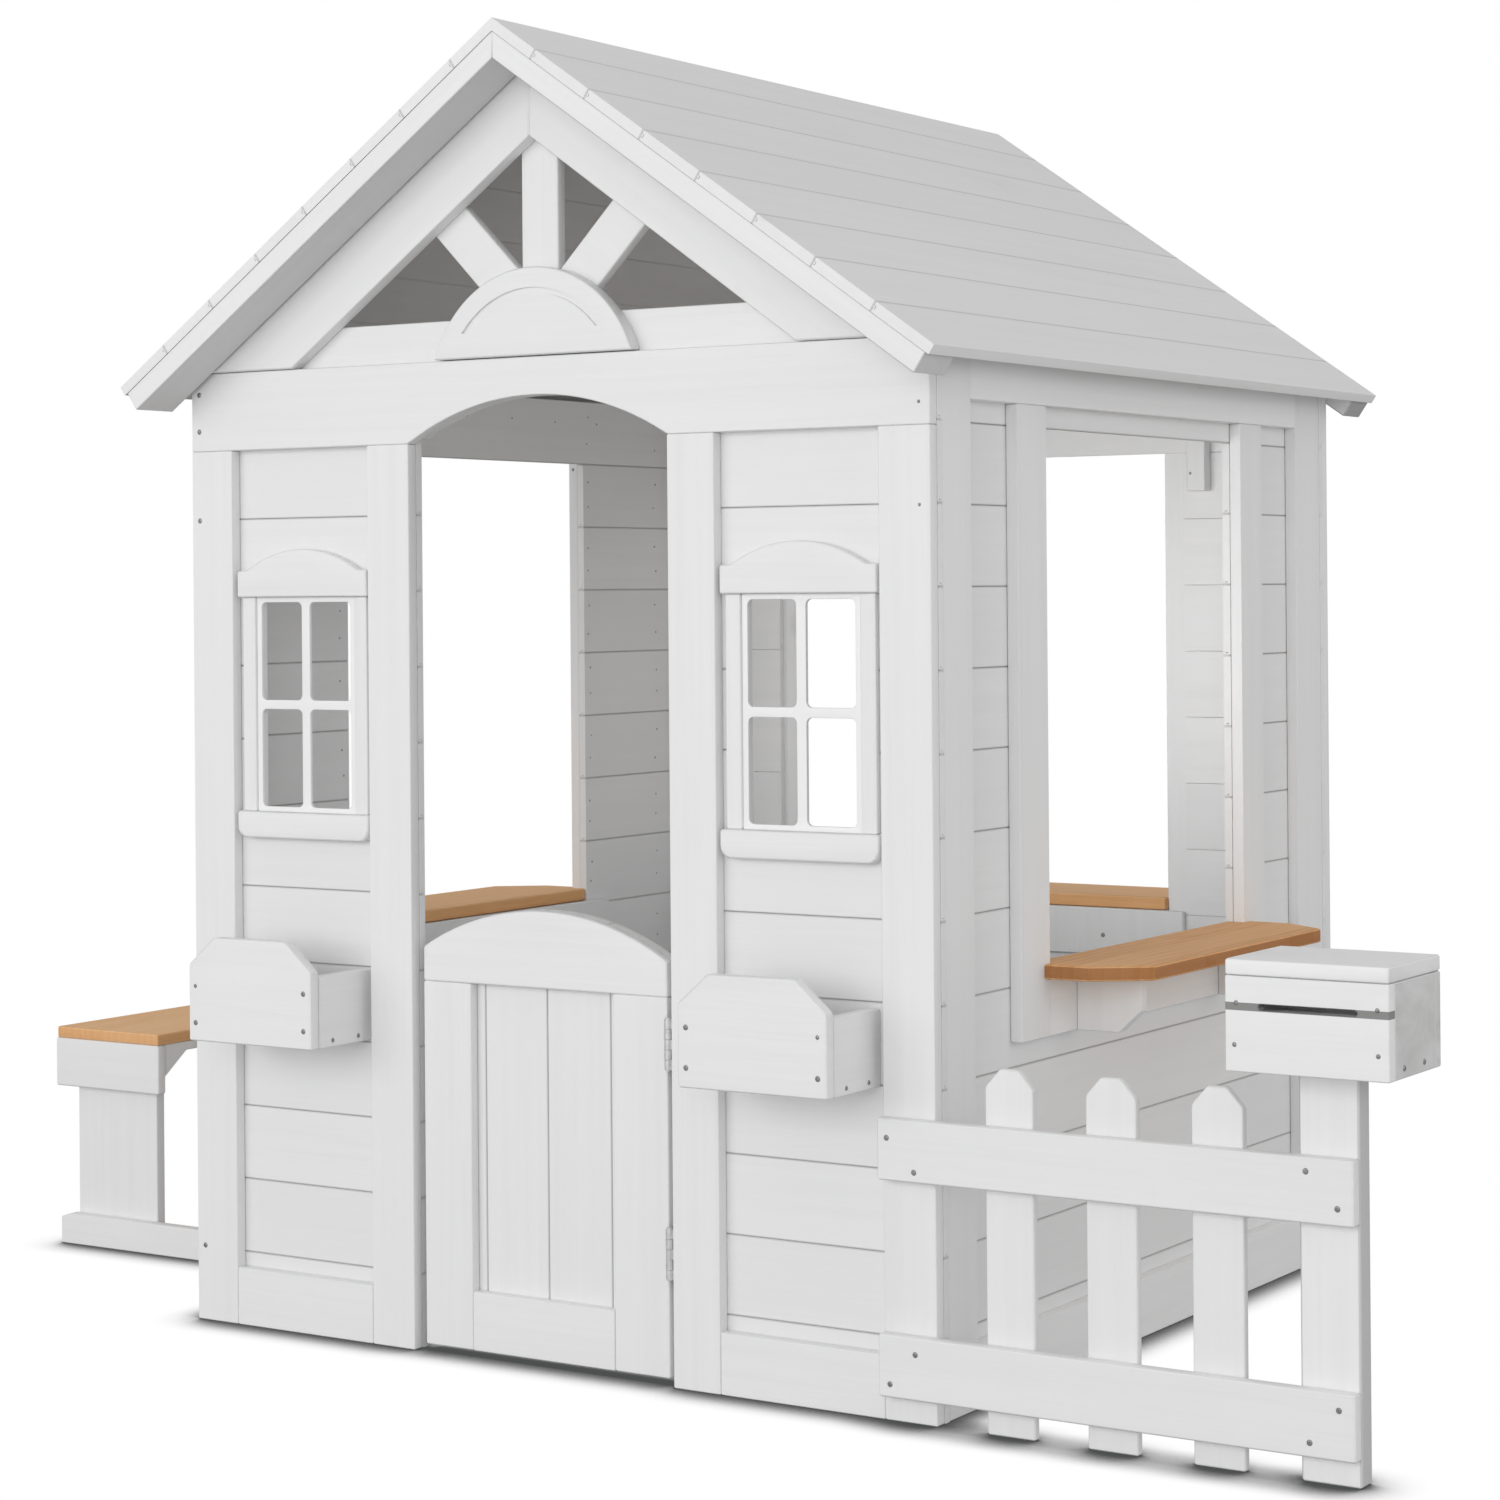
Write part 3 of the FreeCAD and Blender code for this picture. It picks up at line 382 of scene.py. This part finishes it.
FINISH = {
    "front_outer_stiles": M_Z, "front_inner_stiles": M_Z, "front_kick_boards": M_X, "front_boards": M_FBOARD,
    "door_header": M_X, "front_top_board": M_X, "window_lintels": M_X, "window_side_trims": M_Z,
    "window_sills": M_X, "window_inserts": M_PLASTIC, "gable_rakes": M_RAKE, "gable_tie_board": M_X,
    "gable_centre_spoke": M_Z, "gable_diagonal_spokes": M_RAKE, "gable_plaque": M_X,
    "right_wall_uprights": M_Z, "right_wall_rails": M_RAIL, "right_wall_boards": M_SBOARD,
    "right_wall_shelf_ledger": M_Y, "right_wall_shelf": M_STAIN_SHADED,
    "left_wall_uprights": M_Z, "left_wall_rails": M_Y, "left_wall_boards": M_SBOARD,
    "left_wall_shelf_ledger": M_Y, "left_wall_shelf": M_STAIN_Y,
    "back_wall_uprights": M_Z, "back_wall_rails": M_X, "back_wall_boards": M_BBOARD,
    "back_wall_ledger_and_blocks": M_Z, "back_wall_shelf": M_STAIN_X, "back_gable_rakes": M_RAKE,
    "back_gable_boards": M_BBOARD, "shelf_brackets": M_Z, "roof_right_boards": M_ROOF,
    "roof_left_boards": M_ROOF, "roof_battens": M_BATTEN, "planter_front_boards": M_X,
    "planter_side_boards": M_Y, "planter_floors": M_X, "door_stiles": M_Z, "door_bottom_rail": M_X,
    "door_top_rail": M_X, "door_boards": M_DOOR, "door_hinge_leaves": M_HINGE, "fixed_hinge_leaves": M_HINGE,
    "hinge_pins": M_HINGE, "fence_rails": M_X, "fence_pickets": M_Z, "fence_post": M_POST,
    "letterbox_front": M_BOXFRONT, "letterbox_walls": M_BOXSIDE, "letterbox_floor": M_X, "letterbox_lid": M_LID,
    "lid_hinge_lid_leaves": M_STEEL, "bench_seat": M_STAIN_Y, "bench_aprons": M_X, "bench_legs": M_Z,
    "bench_foot_rails": M_X, "screw_heads": M_STEEL,
}
for name, obj in N.items():
    mat = FINISH[name]
    if not obj.material_slots:
        obj.data.materials.append(mat)
    for s in obj.material_slots:
        s.material = mat
    gm = obj.modifiers.new("eased", "NODES")
    gm.node_group = EASED
    wn_ = obj.modifiers.new("weighted", "WEIGHTED_NORMAL")
    wn_.mode = "FACE_AREA"
    wn_.weight = 80
    wn_.keep_sharp = True

# ------------------------------------------------------------------ board nails on the inner faces
rnd = random.Random(11)
nail_v, nail_f = [], []


def nail(px, py, pz, nx, ny):
    """Small domed head, 3 mm across, standing 0.35 mm proud of an upright face."""
    c = Vector((px, py, pz))
    n = Vector((nx, ny, 0.0))
    a, b = Vector((-ny, nx, 0.0)), Vector((0.0, 0.0, 1.0))
    i0 = len(nail_v)
    r = 0.0014 * rnd.uniform(0.85, 1.15)
    for rr, h in ((r, -0.0003), (r * 0.94, 0.00022), (r * 0.5, 0.00035)):
        for k in range(10):
            t = 2 * math.pi * k / 10
            nail_v.append(tuple(c + a * (rr * math.cos(t)) + b * (rr * math.sin(t)) + n * h))
    for j in (0, 10):
        for k in range(10):
            q = (k + 1) % 10
            nail_f.append((i0 + j + k, i0 + j + q, i0 + j + 10 + q, i0 + j + 10 + k))
    nail_f.append(tuple(i0 + 20 + k for k in range(10)))
    nail_f.append(tuple(i0 + 9 - k for k in range(10)))


for sgn in (-1, 1):
    for row in range(12):
        z0 = 0.0774 + 0.08 * row
        for dz in (0.024, 0.056):
            for yy in (0.064, 0.222, 0.707, 0.855):
                z_ = z0 + dz + rnd.uniform(-0.005, 0.005)
                if z_ < 0.415 and 0.23 < yy < 0.70:
                    continue
                nail(sgn * 0.446 - OX, yy - OY + rnd.uniform(-0.003, 0.003), z_, -sgn, 0)
    for k in range(5):
        nail(sgn * 0.446 - OX, 0.371 + 0.089 * k - OY, 1.008 + rnd.uniform(-0.003, 0.003), -sgn, 0)
nm_ = bpy.data.meshes.new("board_nails")
nm_.from_pydata(nail_v, [], nail_f)
nm_.update()
nails = bpy.data.objects.new("board_nails", nm_)
scene.collection.objects.link(nails)
g = G("nail_heads")
co = g.n("ShaderNodeTexCoord").outputs["Object"]
g.put(g.bsdf.inputs["Base Color"], g.mix(g.rng(g.noise(co, 700.0, 3.0), 0.3, 0.7, 0.0, 1.0),
                                         (0.30, 0.30, 0.30), (0.46, 0.455, 0.445)))
g.put(g.bsdf.inputs["Roughness"], g.rng(g.noise(co, 900.0, 2.0), 0.3, 0.7, 0.45, 0.65))
g.bsdf.inputs["Metallic"].default_value = 0.3
g.put(g.bsdf.inputs["Normal"], g.bump(g.noise(co, 2500.0, 2.0), 0.2, 0.0001))
nm_.materials.append(g.mat)
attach(nails, "root")

# ------------------------------------------------------------------ stage, light, camera
bpy.ops.mesh.primitive_plane_add(size=40.0, location=(0, 0, -0.0006))
floor = bpy.context.object
floor.name = "studio_floor"
fm = bpy.data.materials.new("studio_floor_paint")
fm.use_nodes = True
ft = fm.node_tree
ft.nodes.clear()
f_out = ft.nodes.new("ShaderNodeOutputMaterial")
f_seen = ft.nodes.new("ShaderNodeEmission")            # pale sweep with a painted contact shadow at each contact, from ambient occlusion
f_ao = ft.nodes.new("ShaderNodeAmbientOcclusion")
f_ao.samples = 12
f_ao.inputs["Distance"].default_value = 0.055
f_rmp = ft.nodes.new("ShaderNodeValToRGB")
f_el = f_rmp.color_ramp.elements
f_el[0].position, f_el[0].color = 0.46, (0.075, 0.080, 0.077, 1)
f_el[1].position, f_el[1].color = 0.96, (1.0, 1.0, 1.0, 1)
for q_, c_ in ((0.58, 0.13), (0.70, 0.36), (0.83, 0.73)):
    e_ = f_el.new(q_)
    e_.color = (c_, c_, c_, 1)
ft.links.new(f_ao.outputs["AO"], f_rmp.inputs[0])
ft.links.new(f_rmp.outputs[0], f_seen.inputs[0])
f_lit = ft.nodes.new("ShaderNodeBsdfDiffuse")          # what it gives back to the object
f_lit.inputs["Color"].default_value = (0.55, 0.55, 0.55, 1)
f_lp = ft.nodes.new("ShaderNodeLightPath")
f_mx = ft.nodes.new("ShaderNodeMixShader")
ft.links.new(f_lp.outputs["Is Camera Ray"], f_mx.inputs[0])
ft.links.new(f_lit.outputs[0], f_mx.inputs[1])
ft.links.new(f_seen.outputs[0], f_mx.inputs[2])
ft.links.new(f_mx.outputs[0], f_out.inputs[0])
floor.data.materials.append(fm)

world = bpy.data.worlds.new("studio")
scene.world = world
world.use_nodes = True
wt = world.node_tree
wt.nodes.clear()
wo = wt.nodes.new("ShaderNodeOutputWorld")
b_light = wt.nodes.new("ShaderNodeBackground")
b_view = wt.nodes.new("ShaderNodeBackground")
b_light.inputs[0].default_value = (1, 1, 1, 1)
b_light.inputs[1].default_value = 0.587
b_view.inputs[0].default_value = (1, 1, 1, 1)
b_view.inputs[1].default_value = 1.0
lp = wt.nodes.new("ShaderNodeLightPath")
mx = wt.nodes.new("ShaderNodeMixShader")
wt.links.new(lp.outputs["Is Camera Ray"], mx.inputs[0])
wt.links.new(b_light.outputs[0], mx.inputs[1])
wt.links.new(b_view.outputs[0], mx.inputs[2])
wt.links.new(mx.outputs[0], wo.inputs[0])


def area(name, loc, target, size, power):
    d = bpy.data.lights.new(name, "AREA")
    d.shape = "RECTANGLE"
    d.size, d.size_y = size
    d.energy = power
    o = bpy.data.objects.new(name, d)
    scene.collection.objects.link(o)
    o.location = loc
    o.rotation_euler = (Vector(target) - Vector(loc)).to_track_quat("-Z", "Y").to_euler()
    return o


area("key_front", (-2.4, -5.0, 1.7), (0, 0, 0.7), (2.6, 2.4), 44)
area("front_wide", (1.0, -5.6, 1.6), (0, 0, 0.6), (5.0, 3.0), 93)
area("fill_right", (5.0, 0.2, 1.35), (0, 0, 0.6), (3.5, 3.0), 39)
for nm, loc, to, size, power, spread in (
        ("fill_inside_back", (0.12, -0.36, 0.72), (0.20, 0.45, 0.86), (0.55, 0.50), 0.80, 85),
        ("fill_inside_left", (0.36, -0.15, 0.74), (-0.46, -0.10, 0.78), (0.45, 0.50), 0.18, 110),
        ("fill_letterbox", (0.8556, -0.468, 0.440), (0.8556, -0.52, 0.425), (0.10, 0.015), 0.0035, 120)):
    o_ = area(nm, loc, to, size, power)
    o_.data.spread = math.radians(spread)
    o_.visible_camera = False

cam_d = bpy.data.cameras.new("camera")
cam = bpy.data.objects.new("camera", cam_d)
scene.collection.objects.link(cam)
scene.camera = cam
F_PX, CX, CY, YAW, PITCH, ROLL = 3314.82, 812.07, 583.22, 0.56153, 0.00187, -0.00799
CAM = Vector((2.03295, -3.20256, 0.79571))
fw = Vector((-math.sin(YAW) * math.cos(PITCH), math.cos(YAW) * math.cos(PITCH), math.sin(PITCH)))
rt = Vector((math.cos(YAW), math.sin(YAW), 0.0))
up = rt.cross(fw)
r2 = rt * math.cos(ROLL) + up * math.sin(ROLL)
u2 = -rt * math.sin(ROLL) + up * math.cos(ROLL)
m = Matrix((r2, u2, -fw)).transposed().to_4x4()
m.translation = CAM
cam.matrix_world = m
cam_d.sensor_fit = "HORIZONTAL"
cam_d.sensor_width = 36.0
cam_d.lens = F_PX * 36.0 / 1500.0
cam_d.shift_x = (750.0 - CX) / 1500.0
cam_d.shift_y = (CY - 750.0) / 1500.0
cam_d.clip_start, cam_d.clip_end = 0.05, 60.0

bpy.context.view_layer.update()
